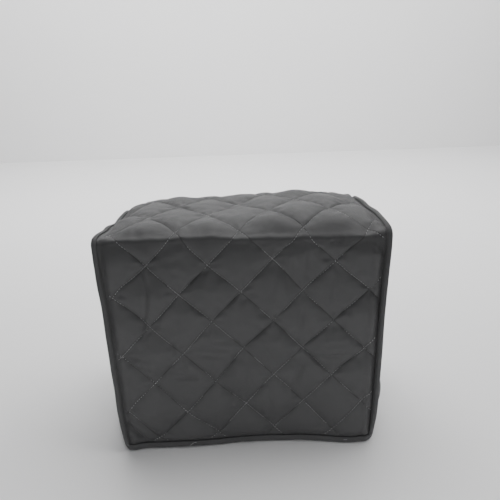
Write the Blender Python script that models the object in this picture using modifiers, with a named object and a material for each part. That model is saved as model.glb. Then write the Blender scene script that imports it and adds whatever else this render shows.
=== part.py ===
"""Quilted cloth cover for a toaster, standing on its bound hem.

One length of quilted cloth makes the front, the top and the back. Two quilted end
panels are sewn to it, each seam stands outwards and is bound with tape, and a
heavier tape binds the mouth. Metres, +Z up, the front towards -Y, the origin on
the floor under the middle of the cover.
"""

import math

import bmesh
import bpy
from mathutils import Vector

# Driving sizes of the cover.
HALF_DIAMOND = 0.032
ROW_PITCH = 0.0334
LEFT_SEAM_COLUMN = -0.23
RIGHT_SEAM_COLUMN = 8.46
HALF_WIDTH = (RIGHT_SEAM_COLUMN - LEFT_SEAM_COLUMN) * HALF_DIAMOND / 2
HALF_DEPTH_AT_HEM = 0.084
FOLD_HEIGHT = 0.2438
LEAN = math.radians(4.0)
FOLD_RADIUS = 0.0045
HEM_ROW = 6.55
MIDDLE_ROW = -17 / 6
STEPS_PER_HALF_DIAMOND = 3
COLUMN_CLEARANCE = 0.007

# Cloth, seam and tape thicknesses.
CLOTH = 0.0026
PRESSED_CLOTH = 0.0012
LAYER_GAP = 0.0003
TAPE = 0.0009
SEAM_ALLOWANCE = 0.0054
SEAM_ALLOWANCE_AT_HEM = 0.0030
SEAM_TAPER = 0.025
TAPE_START = 0.0014
SEAM_TURN = {"left": math.radians(42), "right": math.radians(58)}
SEAM_TURN_ON_TOP = math.radians(24)
SEAM_TURN_FADE = 0.065
HEM_TAPE_HEIGHT = 0.008
HEM_TAPE_WIDTH = 0.005
HEM_CLEARANCE = 0.0005

# Puff of the diamonds between the stitch lines.
PUFF = 0.0024
PUFF_SHARPNESS = 0.6
PUFF_MARGIN = 0.012

# Crown of the top, above the line from fold to fold.
# Columns: place across, height of the crown midway from front to back.
CROWN = (
    (-0.140, 0.0040),
    (-0.105, 0.0090),
    (-0.070, 0.0098),
    (-0.010, 0.0092),
    (0.032, 0.0128),
    (0.072, 0.0142),
    (0.100, 0.0122),
    (0.125, 0.0080),
    (0.140, 0.0040),
)

# How the seams settle on their way over the top, inwards and downwards.
# Columns: share of the way from the front fold to the back fold, distance.
SEAM_PULL = {
    "left": ((0.0, 0.0), (0.3, 0.0025), (0.6, 0.0050), (1.0, 0.0080)),
    "right": ((0.0, 0.0), (0.3, 0.0005), (0.6, 0.0025), (1.0, 0.0050)),
}
SEAM_DROP = {
    "left": ((0.0, 0.0), (0.3, 0.0060), (0.6, 0.0120), (1.0, 0.0110)),
    "right": ((0.0, 0.0), (0.3, 0.0010), (0.6, 0.0035), (1.0, 0.0050)),
}
SEAM_PULL_FADE = 0.110
SEAM_DROP_SQUARENESS = 7.0
LEVEL_WIDTH = 0.110

# How the seams spread from the hem to the top.
# Columns: length up the seam, how far out from the half width.
SEAM_SPREAD = (
    (0.000, -0.0040),
    (0.060, -0.0008),
    (0.130, 0.0006),
    (0.240, 0.0034),
    (0.310, 0.0026),
)

# How the front hem wanders in plan, positive outwards.
# Columns: place across, how far out.
HEM_WAVE = (
    (-0.137, 0.0000),
    (-0.100, -0.0012),
    (-0.055, -0.0012),
    (0.006, -0.0045),
    (0.050, -0.0034),
    (0.116, 0.0046),
    (0.137, 0.0005),
)
HEM_WAVE_HEIGHT = 0.110

# Main soft folds of the front and back.
# Columns: face, place across, height, half length, half width, turn from upright in degrees, how far out.
DRAPE_FOLDS = (
    ("front", 0.066, 0.214, 0.026, 0.012, 6, -0.0024),
    ("front", 0.058, 0.150, 0.030, 0.012, 3, -0.0022),
    ("front", 0.087, 0.184, 0.028, 0.014, 5, -0.0016),
    ("front", 0.088, 0.106, 0.014, 0.026, 0, -0.0020),
    ("front", 0.055, 0.088, 0.022, 0.012, 20, -0.0020),
    ("front", -0.104, 0.185, 0.045, 0.014, 3, -0.0030),
    ("front", -0.088, 0.180, 0.040, 0.014, 3, 0.0020),
    ("front", -0.066, 0.090, 0.014, 0.030, 0, -0.0022),
    ("front", -0.034, 0.120, 0.012, 0.030, 0, -0.0018),
    ("front", -0.125, 0.024, 0.026, 0.008, -40, -0.0036),
    ("front", -0.112, 0.030, 0.028, 0.009, -44, 0.0026),
    ("back", -0.060, 0.150, 0.090, 0.030, 10, -0.0030),
    ("back", 0.045, 0.090, 0.080, 0.028, -8, 0.0028),
    ("back", 0.095, 0.190, 0.060, 0.024, 20, -0.0024),
)

# How the end panels swell between their seams.
# Columns: side, swell at the hem, how fast it dies away upwards, squareness from front to back.
END_SWELL = {
    "left": (0.0219, 1.25, 0.75),
    "right": (0.0205, 0.80, 0.75),
}

FRONT_LENGTH = FOLD_HEIGHT / math.cos(LEAN)
HALF_DEPTH_AT_FOLD = HALF_DEPTH_AT_HEM - FOLD_HEIGHT * math.tan(LEAN)
FOLD_TURN = math.pi / 2 - LEAN
FOLD_TANGENT = FOLD_RADIUS * math.tan(FOLD_TURN / 2)
FOLD_START = FRONT_LENGTH - FOLD_TANGENT
FOLD_END = FOLD_START + FOLD_RADIUS * FOLD_TURN
FOLD_MIDDLE = (FOLD_START + FOLD_END) / 2
MIDDLE = FOLD_END + HALF_DEPTH_AT_FOLD - FOLD_TANGENT
CLOTH_START = (HEM_TAPE_HEIGHT + HEM_CLEARANCE) / math.cos(LEAN)
FOLD_END_ROW = HEM_ROW - FOLD_END / ROW_PITCH
TOP_ROW_PITCH = (MIDDLE - FOLD_END) / (FOLD_END_ROW - MIDDLE_ROW)
LAYER_OFFSET = (PRESSED_CLOTH + LAYER_GAP) / 2


def smooth(value):
    """Ease a value from 0 to 1 with level ends."""
    value = min(1.0, max(0.0, value))
    return value * value * (3 - 2 * value)


def wave_at(table, place):
    """Smoothly join the rows of a table of places and heights."""
    for (left, low), (right, high) in zip(table, table[1:]):
        if place <= right:
            return low + (high - low) * smooth((place - left) / (right - left))
    return table[-1][1]


def row_at(length):
    """Give the quilting row at a length along the front half of the main panel."""
    if length <= FOLD_END:
        return HEM_ROW - length / ROW_PITCH
    return FOLD_END_ROW - (length - FOLD_END) / TOP_ROW_PITCH


def length_at(row):
    """Give the length along the front half of the main panel at a quilting row."""
    if row >= FOLD_END_ROW:
        return (HEM_ROW - row) * ROW_PITCH
    return FOLD_END + (FOLD_END_ROW - row) * TOP_ROW_PITCH


def half_stations():
    """List the lengths of the rows of points from the front hem to the middle of the top."""
    step = 1 / STEPS_PER_HALF_DIAMOND
    folds = [FOLD_START + FOLD_RADIUS * FOLD_TURN * part / 4 for part in range(5)]
    lengths = [CLOTH_START]
    for count in range(int(HEM_ROW / step), int(MIDDLE_ROW / step) - 1, -1):
        length = length_at(count * step)
        near_fold = FOLD_START - step * ROW_PITCH / 2 < length < FOLD_END + step * ROW_PITCH / 2
        if CLOTH_START + step * ROW_PITCH / 2 < length < MIDDLE and not near_fold:
            lengths.append(length)
    return sorted(lengths + folds)


HALF = half_stations()
STATIONS = [(length, "front") for length in HALF] + [(length, "back") for length in reversed(HALF)]
FOLD_STATION = HALF.index(min(HALF, key=lambda length: abs(length - FOLD_MIDDLE)))


def lattice_row(station):
    """Give the quilting row of a station, counted on over the top and down the back."""
    length, face = station
    row = row_at(length)
    return row if face == "front" else 2 * MIDDLE_ROW - row


def section(station):
    """Give a station's place in the section, and the direction that faces out there."""
    length, face = station
    if length <= FOLD_START:
        place = Vector((0, -HALF_DEPTH_AT_HEM + length * math.sin(LEAN), length * math.cos(LEAN)))
        turned = 0.0
    elif length <= FOLD_END:
        turned = (length - FOLD_START) / (FOLD_END - FOLD_START)
        angle = LEAN + turned * FOLD_TURN
        start = Vector((0, -HALF_DEPTH_AT_HEM + FOLD_START * math.sin(LEAN), FOLD_START * math.cos(LEAN)))
        centre = start + FOLD_RADIUS * Vector((0, math.cos(LEAN), -math.sin(LEAN)))
        place = centre + FOLD_RADIUS * Vector((0, -math.cos(angle), math.sin(angle)))
    else:
        place = Vector((0, -HALF_DEPTH_AT_FOLD + FOLD_TANGENT + length - FOLD_END, FOLD_HEIGHT))
        turned = 1.0
    out = Vector((0, -math.cos(turned * math.pi / 2), math.sin(turned * math.pi / 2)))
    if face == "back":
        place.y = -place.y
        out.y = -out.y
    return place, out


def top_share(station):
    """Tell how far from the fold towards the middle of the top a station lies, 0 below the fold."""
    return max(0.0, (station[0] - FOLD_MIDDLE) / (MIDDLE - FOLD_MIDDLE))


def way_over(station):
    """Tell how far over the top a station lies, from 0 on the front to 1 on the back."""
    share = top_share(station) / 2
    return share if station[1] == "front" else 1 - share


def seam_reach(side, station):
    """Give how far a seam stands from the middle of the cover."""
    below = max(0.0, FOLD_MIDDLE - station[0])
    pull = wave_at(SEAM_PULL[side], way_over(station)) * smooth(1 - below / SEAM_PULL_FADE)
    return HALF_WIDTH + wave_at(SEAM_SPREAD, station[0]) - pull


def seam_drop(side, station):
    """Give how far a seam has sunk, shared out down the back below its fold."""
    return wave_at(SEAM_DROP[side], way_over(station)) * min(1.0, station[0] / FOLD_MIDDLE)


def swell_of_top(across, station):
    """Work out the crown of the top at a point of the main panel."""
    share = top_share(station)
    return (1 - (1 - share) ** 4) * wave_at(CROWN, across)


def sink(across, station):
    """Work out how far a point of the main panel sinks with the seam beside it."""
    side = "left" if across < 0 else "right"
    nearness = min(1.0, abs(across) / seam_reach(side, station)) ** SEAM_DROP_SQUARENESS
    return seam_drop(side, station) * nearness


def drape(across, station):
    """Work out the soft folds and the wandering hem at a point of the main panel."""
    length, face = station
    out = 0.0
    for fold_face, place, height, half_length, half_width, turn, depth in DRAPE_FOLDS:
        if fold_face != face:
            continue
        lean = math.radians(turn)
        along = (across - place) * math.sin(lean) + (length - height) * math.cos(lean)
        aside = (across - place) * math.cos(lean) - (length - height) * math.sin(lean)
        out += depth * math.exp(-((along / half_length) ** 2) - (aside / half_width) ** 2)
    below_fold = smooth((FOLD_START - length) / 0.03)
    from_seam = smooth((HALF_WIDTH - abs(across)) / 0.008)
    above_hem = smooth((length - CLOTH_START) / 0.03)
    out *= below_fold * from_seam * (0.35 + 0.65 * above_hem)
    side = 1 if face == "front" else -1
    hem_share = smooth(1 - (length - CLOTH_START) / HEM_WAVE_HEIGHT)
    return out + hem_share * wave_at(HEM_WAVE, across * side)


def puff(column, row, margin):
    """Work out how far a quilted diamond stands out, from none on a stitch line."""
    rising = math.sin(math.pi * (column + row - 1) / 2)
    falling = math.sin(math.pi * (column - row - 1) / 2)
    return PUFF * abs(rising * falling) ** PUFF_SHARPNESS * smooth(margin / PUFF_MARGIN)


def seam_frame(side, station):
    """Give the sewn line's place, the way the seam stands, and the way across its layers."""
    sign = -1 if side == "left" else 1
    place, out = section(station)
    place = place + out * swell_of_top(sign * HALF_WIDTH, station)
    place.x = sign * seam_reach(side, station)
    place.z -= seam_drop(side, station)
    aside = Vector((sign, 0, 0))
    on_top = smooth(1 - (FOLD_START - station[0]) / SEAM_TURN_FADE)
    turn = SEAM_TURN[side] + (SEAM_TURN_ON_TOP - SEAM_TURN[side]) * on_top
    stand = aside * math.cos(turn) + out * math.sin(turn)
    across = out * math.cos(turn) - aside * math.sin(turn)
    return place, stand, across


def seam_allowance(station):
    """Give the width of the seam's allowance, which narrows towards the hem."""
    near_hem = max(0.0, 1 - (station[0] - CLOTH_START) / SEAM_TAPER)
    return SEAM_ALLOWANCE + (SEAM_ALLOWANCE_AT_HEM - SEAM_ALLOWANCE) * near_hem ** 2


def across_at(column):
    """Give the place across the flat cover of a quilting column."""
    return -HALF_WIDTH + (column - LEFT_SEAM_COLUMN) * HALF_DIAMOND


def settled_across(column, station):
    """Give a column's place across at a station, following the seam that it is nearest to."""
    plain = across_at(column)
    beyond = (abs(plain) - LEVEL_WIDTH) / (HALF_WIDTH - LEVEL_WIDTH)
    if beyond <= 0:
        return plain
    reach = seam_reach("left" if plain < 0 else "right", station)
    return math.copysign(LEVEL_WIDTH + beyond * (reach - LEVEL_WIDTH), plain)


def cloth_point(column, station):
    """Give a point of the main panel between its two seams."""
    across = settled_across(column, station)
    place, out = section(station)
    edge = min(HALF_WIDTH - abs(across_at(column)), station[0] - CLOTH_START)
    rise = swell_of_top(across, station) + drape(across, station)
    place = place + out * (rise + puff(column, lattice_row(station), edge))
    place.x = across
    place.z -= sink(across, station)
    return place


def body_columns():
    """List the quilting columns that carry a line of points, clear of both seams."""
    step = 1 / STEPS_PER_HALF_DIAMOND
    columns = [count * step for count in range(int(RIGHT_SEAM_COLUMN / step) + 1)]
    return [column for column in columns if abs(across_at(column)) < HALF_WIDTH - COLUMN_CLEARANCE]


def material(name, colour, roughness):
    """Make a plain cloth material."""
    made = bpy.data.materials.new(name)
    made.use_nodes = True
    shader = made.node_tree.nodes["Principled BSDF"]
    shader.inputs["Base Color"].default_value = (*colour, 1)
    shader.inputs["Roughness"].default_value = roughness
    shader.inputs["Metallic"].default_value = 0.0
    return made


def finish(name, shape, used_material, collection):
    """Turn a bmesh into a named object of the cover."""
    mesh = bpy.data.meshes.new(name)
    shape.to_mesh(mesh)
    shape.free()
    mesh.materials.append(used_material)
    made = bpy.data.objects.new(name, mesh)
    collection.objects.link(made)
    return made


def thicken(made, weights):
    """Give an open cloth surface its thickness, pressed thin in the seams."""
    group = made.vertex_groups.new(name="full thickness")
    for index, weight in enumerate(weights):
        group.add([index], weight, "REPLACE")
    solid = made.modifiers.new("thickness", "SOLIDIFY")
    solid.thickness = CLOTH
    solid.offset = 0.0
    solid.use_even_offset = True
    solid.vertex_group = group.name
    solid.thickness_vertex_group = PRESSED_CLOTH / CLOTH


def split_on_stitches(shape, corners):
    """Cut each cell that a stitch line crosses, from corner to corner along the line.

    corners gives each point's column and row in steps of the quilting grid.
    """
    period = 2 * STEPS_PER_HALF_DIAMOND
    for face in list(shape.faces):
        points = list(face.verts)
        if len(points) != 4 or any(point not in corners for point in points):
            continue
        for first, second in ((points[0], points[2]), (points[1], points[3])):
            column, row = corners[first]
            other_column, other_row = corners[second]
            total = column + row
            difference = column - row
            on_rising = abs(total - other_column - other_row) < 0.01
            on_falling = abs(difference - other_column + other_row) < 0.01
            rising_line = on_rising and abs((total - period / 2 + 0.5) % period - 0.5) < 0.01
            falling_line = on_falling and abs((difference - period / 2 + 0.5) % period - 0.5) < 0.01
            if rising_line or falling_line:
                bmesh.utils.face_split(face, first, second)
                break


def main_panel(used_material, collection):
    """Make the cloth that is front, top and back, with its edges turned out into the seams."""
    columns = body_columns()
    shape = bmesh.new()
    wide = len(columns) + 6
    made = bmesh.ops.create_grid(shape, x_segments=wide - 1, y_segments=len(STATIONS) - 1, size=1)
    points = sorted(made["verts"], key=lambda point: (round(point.co.y, 5), point.co.x))
    weights = {}
    corners = {}
    for count, point in enumerate(points):
        station = STATIONS[count // wide]
        place = count % wide
        from_edge = min(place, wide - 1 - place)
        if from_edge < 3:
            side = "left" if place < 3 else "right"
            sewn, stand, across = seam_frame(side, station)
            reach = seam_allowance(station) * (2 - from_edge) / 2
            point.co = sewn + across * LAYER_OFFSET + stand * reach
            weights[point] = 0.0
        else:
            column = columns[place - 3]
            point.co = cloth_point(column, station)
            weights[point] = 1.0
            row = lattice_row(station)
            corners[point] = (column * STEPS_PER_HALF_DIAMOND, row * STEPS_PER_HALF_DIAMOND)
    split_on_stitches(shape, corners)
    shape.verts.index_update()
    ordered = [weights[point] for point in shape.verts]
    panel = finish("main_panel", shape, used_material, collection)
    thicken(panel, ordered)


def end_panel_point(front, back, top, bottom, place_across, place_up):
    """Blend a panel's four edges into a point inside it."""
    across, up = place_across, place_up
    sides = (1 - across) * front[1] + across * back[1]
    ends = (1 - up) * bottom + up * top
    low = (1 - across) * front[0] + across * back[0]
    high = (1 - across) * front[2] + across * back[2]
    return sides + ends - (1 - up) * low - up * high


def end_panel(side, used_material, collection):
    """Make one quilted end panel, with its edges turned out into the seam."""
    sign = -1 if side == "left" else 1
    swell, fade, squareness = END_SWELL[side]
    up_stations = STATIONS[:FOLD_STATION + 1]
    top_stations = STATIONS[FOLD_STATION:len(STATIONS) - FOLD_STATION]
    wide = len(top_stations)
    tall = len(up_stations)

    def sewn_point(station):
        place, stand, across = seam_frame(side, station)
        return place - across * LAYER_OFFSET

    front_edge = [sewn_point(station) for station in up_stations]
    back_edge = [sewn_point((station[0], "back")) for station in up_stations]
    top_edge = [sewn_point(station) for station in top_stations]
    first, last = top_edge[0].y, top_edge[-1].y
    low, high = front_edge[0].z, front_edge[-1].z
    shape = bmesh.new()
    made = bmesh.ops.create_grid(shape, x_segments=wide - 1, y_segments=tall - 1, size=1)
    points = sorted(made["verts"], key=lambda point: (round(point.co.y, 5), point.co.x))
    weights = {}
    corners = {}
    edge_station = {}
    for count, point in enumerate(points):
        row_number, column_number = divmod(count, wide)
        place_across = (top_edge[column_number].y - first) / (last - first)
        place_up = (front_edge[row_number].z - low) / (high - low)
        bottom = front_edge[0].lerp(back_edge[0], place_across)
        front = (front_edge[0], front_edge[row_number], front_edge[-1])
        back = (back_edge[0], back_edge[row_number], back_edge[-1])
        place = end_panel_point(front, back, top_edge[column_number], bottom, place_across, place_up)
        column = lattice_row(top_stations[column_number])
        row = lattice_row(up_stations[row_number])
        from_side = min(place_across, 1 - place_across) * (last - first)
        from_end = min(place_up, 1 - place_up) * (high - low)
        bulge = swell * math.sin(math.pi * place_across) ** squareness * (1 - place_up) ** fade
        place.x += sign * (bulge + puff(column, row, min(from_side, from_end)))
        point.co = place
        on_edge = column_number in (0, wide - 1) or row_number == tall - 1
        weights[point] = 0.0 if on_edge else 1.0
        corners[point] = (column * STEPS_PER_HALF_DIAMOND, row * STEPS_PER_HALF_DIAMOND)
        if column_number == 0:
            edge_station[point] = up_stations[row_number]
        elif column_number == wide - 1:
            edge_station[point] = (up_stations[row_number][0], "back")
        elif row_number == tall - 1:
            edge_station[point] = top_stations[column_number]
    for part in (1, 2):
        edges = [edge for edge in shape.edges if edge.is_boundary and all(end in edge_station for end in edge.verts)]
        grown = bmesh.ops.extrude_edge_only(shape, edges=edges)
        new_points = {item for item in grown["geom"] if isinstance(item, bmesh.types.BMVert)}
        next_station = {}
        for point in new_points:
            base = next(edge.other_vert(point) for edge in point.link_edges if edge.other_vert(point) in edge_station)
            station = edge_station[base]
            sewn, stand, across = seam_frame(side, station)
            reach = seam_allowance(station) * part / 2
            point.co = sewn - across * LAYER_OFFSET + stand * reach
            weights[point] = 0.0
            next_station[point] = station
        edge_station = next_station
    bmesh.ops.recalc_face_normals(shape, faces=shape.faces)
    split_on_stitches(shape, corners)
    shape.verts.index_update()
    ordered = [weights[point] for point in shape.verts]
    panel = finish("side_" + side, shape, used_material, collection)
    thicken(panel, ordered)


def loft(sections, closed):
    """Join a row of like sections into one closed body."""
    shape = bmesh.new()
    rings = [[shape.verts.new(point) for point in ring] for ring in sections]
    pairs = list(zip(rings, rings[1:]))
    if closed:
        pairs.append((rings[-1], rings[0]))
    for ring, following in pairs:
        for count in range(len(ring)):
            after = (count + 1) % len(ring)
            shape.faces.new((ring[count], ring[after], following[after], following[count]))
    if not closed:
        shape.faces.new(rings[0])
        shape.faces.new(rings[-1])
    bmesh.ops.recalc_face_normals(shape, faces=shape.faces)
    return shape


def seam_binding(side, used_material, collection):
    """Fold tape over one seam's raw edges, from the front hem over the top to the back hem."""
    inner = LAYER_OFFSET + PRESSED_CLOTH / 2 + LAYER_GAP
    outer = inner + TAPE
    corner = TAPE * 0.7
    sections = []
    for station in STATIONS:
        sewn, stand, across = seam_frame(side, station)
        inside = seam_allowance(station) + LAYER_GAP
        outside = inside + TAPE
        outline = (
            (TAPE_START, outer),
            (outside - corner, outer),
            (outside, outer - corner),
            (outside, corner - outer),
            (outside - corner, -outer),
            (TAPE_START, -outer),
            (TAPE_START, -inner),
            (inside, -inner),
            (inside, inner),
            (TAPE_START, inner),
        )
        sections.append([sewn + stand * reach + across * height for reach, height in outline])
    finish("seam_binding_" + side, loft(sections, closed=False), used_material, collection)


def mouth_line():
    """List the middle of the cloth's thickness round the mouth, seen from above anticlockwise."""
    start, end = STATIONS[0], STATIONS[-1]
    columns = body_columns()
    top_stations = STATIONS[FOLD_STATION:len(STATIONS) - FOLD_STATION]
    corner = {}
    for side in ("left", "right"):
        for face, station in (("front", start), ("back", end)):
            corner[side, face] = seam_frame(side, station)[0]
    line = [corner["left", "front"]]
    line += [cloth_point(column, start) for column in columns]
    line.append(corner["right", "front"])
    line += mouth_side("right", corner["right", "front"], corner["right", "back"], top_stations)
    line.append(corner["right", "back"])
    line += [cloth_point(column, end) for column in reversed(columns)]
    line.append(corner["left", "back"])
    line += reversed(mouth_side("left", corner["left", "front"], corner["left", "back"], top_stations))
    return line


def mouth_side(side, front, back, top_stations):
    """List the points of one end panel's lower edge between its corners."""
    sign = -1 if side == "left" else 1
    swell, fade, squareness = END_SWELL[side]
    first = section(top_stations[0])[0].y
    last = section(top_stations[-1])[0].y
    points = []
    for station in top_stations[1:-1]:
        share = (section(station)[0].y - first) / (last - first)
        point = front.lerp(back, share)
        point.x += sign * swell * math.sin(math.pi * share) ** squareness
        points.append(point)
    return points


def hem_binding(used_material, collection):
    """Make the folded tape round the mouth, level under the floor side and flat where it stands."""
    half = HEM_TAPE_WIDTH / 2
    corner = 0.0009
    outline = (
        (-half + corner, 0.0),
        (half - corner, 0.0),
        (half, corner),
        (half, HEM_TAPE_HEIGHT - corner),
        (half - corner, HEM_TAPE_HEIGHT),
        (-half + corner, HEM_TAPE_HEIGHT),
        (-half, HEM_TAPE_HEIGHT - corner),
        (-half, corner),
    )
    line = mouth_line()
    sections = []
    for count, point in enumerate(line):
        before = (point - line[count - 1]).normalized()
        after = (line[(count + 1) % len(line)] - point).normalized()
        out_before = Vector((before.y, -before.x, 0))
        out_after = Vector((after.y, -after.x, 0))
        out = (out_before + out_after).normalized()
        out = out / max(0.7, out.dot(out_before))
        ground = Vector((point.x, point.y, 0))
        sections.append([ground + out * reach + Vector((0, 0, height)) for reach, height in outline])
    finish("hem_binding", loft(sections, closed=True), used_material, collection)


def build():
    """Make the whole cover."""
    for item in list(bpy.data.objects):
        bpy.data.objects.remove(item)
    collection = bpy.data.collections.new("toaster cover")
    bpy.context.scene.collection.children.link(collection)
    quilted = material("quilted cloth", (0.055, 0.055, 0.057), 0.72)
    quilted_ends = material("quilted cloth of the ends", (0.050, 0.050, 0.052), 0.72)
    tape = material("seam tape", (0.030, 0.030, 0.032), 0.80)
    hem_tape = material("hem tape", (0.026, 0.026, 0.028), 0.80)
    main_panel(quilted, collection)
    for side in ("left", "right"):
        end_panel(side, quilted_ends, collection)
        seam_binding(side, tape, collection)
    hem_binding(hem_tape, collection)


build()
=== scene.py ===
import math

import bmesh
import bpy
import numpy as np
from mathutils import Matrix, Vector, noise


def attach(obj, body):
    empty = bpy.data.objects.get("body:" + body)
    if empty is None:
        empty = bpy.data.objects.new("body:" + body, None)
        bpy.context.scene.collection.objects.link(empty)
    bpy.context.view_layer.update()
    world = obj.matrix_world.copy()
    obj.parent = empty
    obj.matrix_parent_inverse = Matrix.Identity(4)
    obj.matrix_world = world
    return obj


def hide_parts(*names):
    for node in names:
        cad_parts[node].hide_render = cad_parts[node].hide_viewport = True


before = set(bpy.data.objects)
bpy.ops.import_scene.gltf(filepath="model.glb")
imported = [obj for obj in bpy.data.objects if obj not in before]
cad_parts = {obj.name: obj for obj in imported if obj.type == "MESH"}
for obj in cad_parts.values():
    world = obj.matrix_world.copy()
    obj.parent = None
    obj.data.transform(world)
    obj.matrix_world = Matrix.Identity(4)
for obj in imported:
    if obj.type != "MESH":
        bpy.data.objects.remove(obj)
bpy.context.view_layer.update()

# The main panel.
# One length of diamond-quilted polyester, cut about 0.30 by 0.62 m. It goes up the front, over
# the top and down the back, and its long edges turn out into the two bound seams.
HALF_DIAMOND = 0.032
ROW_PITCH = 0.0334
LEFT_SEAM_COLUMN = -0.23
RIGHT_SEAM_COLUMN = 8.46
HALF_WIDTH = (RIGHT_SEAM_COLUMN - LEFT_SEAM_COLUMN) * HALF_DIAMOND / 2
HALF_DEPTH_AT_HEM = 0.084
FOLD_HEIGHT = 0.2438
LEAN = math.radians(4.0)
FOLD_RADIUS = 0.0045
HEM_ROW = 6.55
MIDDLE_ROW = -17 / 6
STEPS = 16
ROWS_IN_FOLD = 7
CLOTH = 0.0024
PRESSED_CLOTH = 0.0012
LAYER_GAP = 0.0003
LAYER_OFFSET = (PRESSED_CLOTH + LAYER_GAP) / 2
HEM_TAPE_HEIGHT = 0.008
HEM_CLEARANCE = 0.0004
SEAM_ALLOWANCE = 0.0054
SEAM_ALLOWANCE_AT_HEM = 0.0030
SEAM_TAPER = 0.025
SEAM_TURN = {"left": math.radians(42), "right": math.radians(58)}
SEAM_TURN_ON_TOP = {"left": math.radians(4), "right": math.radians(24)}
SEAM_TURN_FADE = 0.065
LEVEL_WIDTH = 0.110
# Columns: place across, height of the crown midway from front to back.
CROWN = (
    (-0.140, 0.0040),
    (-0.105, 0.0090),
    (-0.070, 0.0098),
    (-0.010, 0.0092),
    (0.032, 0.0128),
    (0.072, 0.0142),
    (0.100, 0.0122),
    (0.125, 0.0080),
    (0.140, 0.0040),
)
# Columns: share of the way from the front fold to the back fold, distance in or down.
SEAM_PULL = {
    "left": ((0.0, 0.0), (0.3, 0.0025), (0.6, 0.0050), (1.0, 0.0080)),
    "right": ((0.0, 0.0), (0.3, 0.0005), (0.6, 0.0025), (1.0, 0.0050)),
}
SEAM_DROP = {
    "left": ((0.0, 0.0), (0.3, 0.0060), (0.6, 0.0120), (1.0, 0.0110)),
    "right": ((0.0, 0.0), (0.3, 0.0010), (0.6, 0.0035), (1.0, 0.0050)),
}
SEAM_PULL_FADE = 0.110
SEAM_DROP_SQUARENESS = 7.0
# Columns: length up the seam, how far out from the half width.
SEAM_SPREAD = (
    (0.000, -0.0040),
    (0.060, -0.0008),
    (0.130, 0.0006),
    (0.240, 0.0034),
    (0.310, 0.0026),
)
# Columns: place across, how far the hem stands out.
HEM_WAVE = (
    (-0.137, 0.0000),
    (-0.100, -0.0012),
    (-0.055, -0.0012),
    (0.006, -0.0045),
    (0.050, -0.0034),
    (0.116, 0.0046),
    (0.137, 0.0005),
)
HEM_WAVE_HEIGHT = 0.110
# Columns: face, place across, height, half length, half width, turn from upright in degrees, how far out.
DRAPE_FOLDS = (
    ("front", 0.066, 0.214, 0.026, 0.012, 6, -0.0024),
    ("front", 0.058, 0.150, 0.030, 0.012, 3, -0.0022),
    ("front", 0.087, 0.184, 0.028, 0.014, 5, -0.0016),
    ("front", 0.088, 0.106, 0.014, 0.026, 0, -0.0020),
    ("front", 0.055, 0.088, 0.022, 0.012, 20, -0.0020),
    ("front", -0.104, 0.185, 0.045, 0.014, 3, -0.0030),
    ("front", -0.088, 0.180, 0.040, 0.014, 3, 0.0020),
    ("front", -0.066, 0.090, 0.014, 0.030, 0, -0.0022),
    ("front", -0.034, 0.120, 0.012, 0.030, 0, -0.0018),
    ("front", -0.125, 0.024, 0.026, 0.008, -40, -0.0036),
    ("front", -0.112, 0.030, 0.028, 0.009, -44, 0.0026),
    ("back", -0.060, 0.150, 0.090, 0.030, 10, -0.0030),
    ("back", 0.045, 0.090, 0.080, 0.028, -8, 0.0028),
    ("back", 0.095, 0.190, 0.060, 0.024, 20, -0.0024),
)
# How far crossings of the stitch lines lie from the even grid, in millimetres.
# Columns: column, row, how far to the right, how far up the front or back over the top.
WANDER = (
    (1, 0, 2.0, -1.0), (3, 0, -0.5, -2.5), (5, 0, 1.0, 2.5), (7, 0, 0.5, -3.5),
    (0, 1, -2.5, 2.0), (2, 1, 0.5, 1.0), (4, 1, -0.5, 1.5), (6, 1, -1.0, -0.5), (8, 1, 3.5, -1.5),
    (1, 2, 0.0, -1.0), (3, 2, 0.5, 3.0), (5, 2, 0.5, 0.5), (7, 2, -0.5, -1.5),
    (0, 3, 0.0, 0.0), (2, 3, 0.0, -0.5), (4, 3, 0.5, 4.0), (6, 3, -1.5, 1.0), (8, 3, 1.5, -2.5),
    (1, 4, -0.5, -1.5), (3, 4, 1.5, -2.5), (5, 4, 0.0, 4.0), (7, 4, -1.5, 0.5),
    (0, 5, -0.5, 1.0), (2, 5, 0.5, -6.5), (4, 5, 0.5, 0.5), (6, 5, -0.5, 1.5), (8, 5, -0.5, 1.0),
    (1, 6, -0.5, -5.5), (3, 6, 2.5, -2.0), (5, 6, 0.0, 1.5), (7, 6, 0.0, -1.0),
)
WANDER_REACH = 0.8
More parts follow.
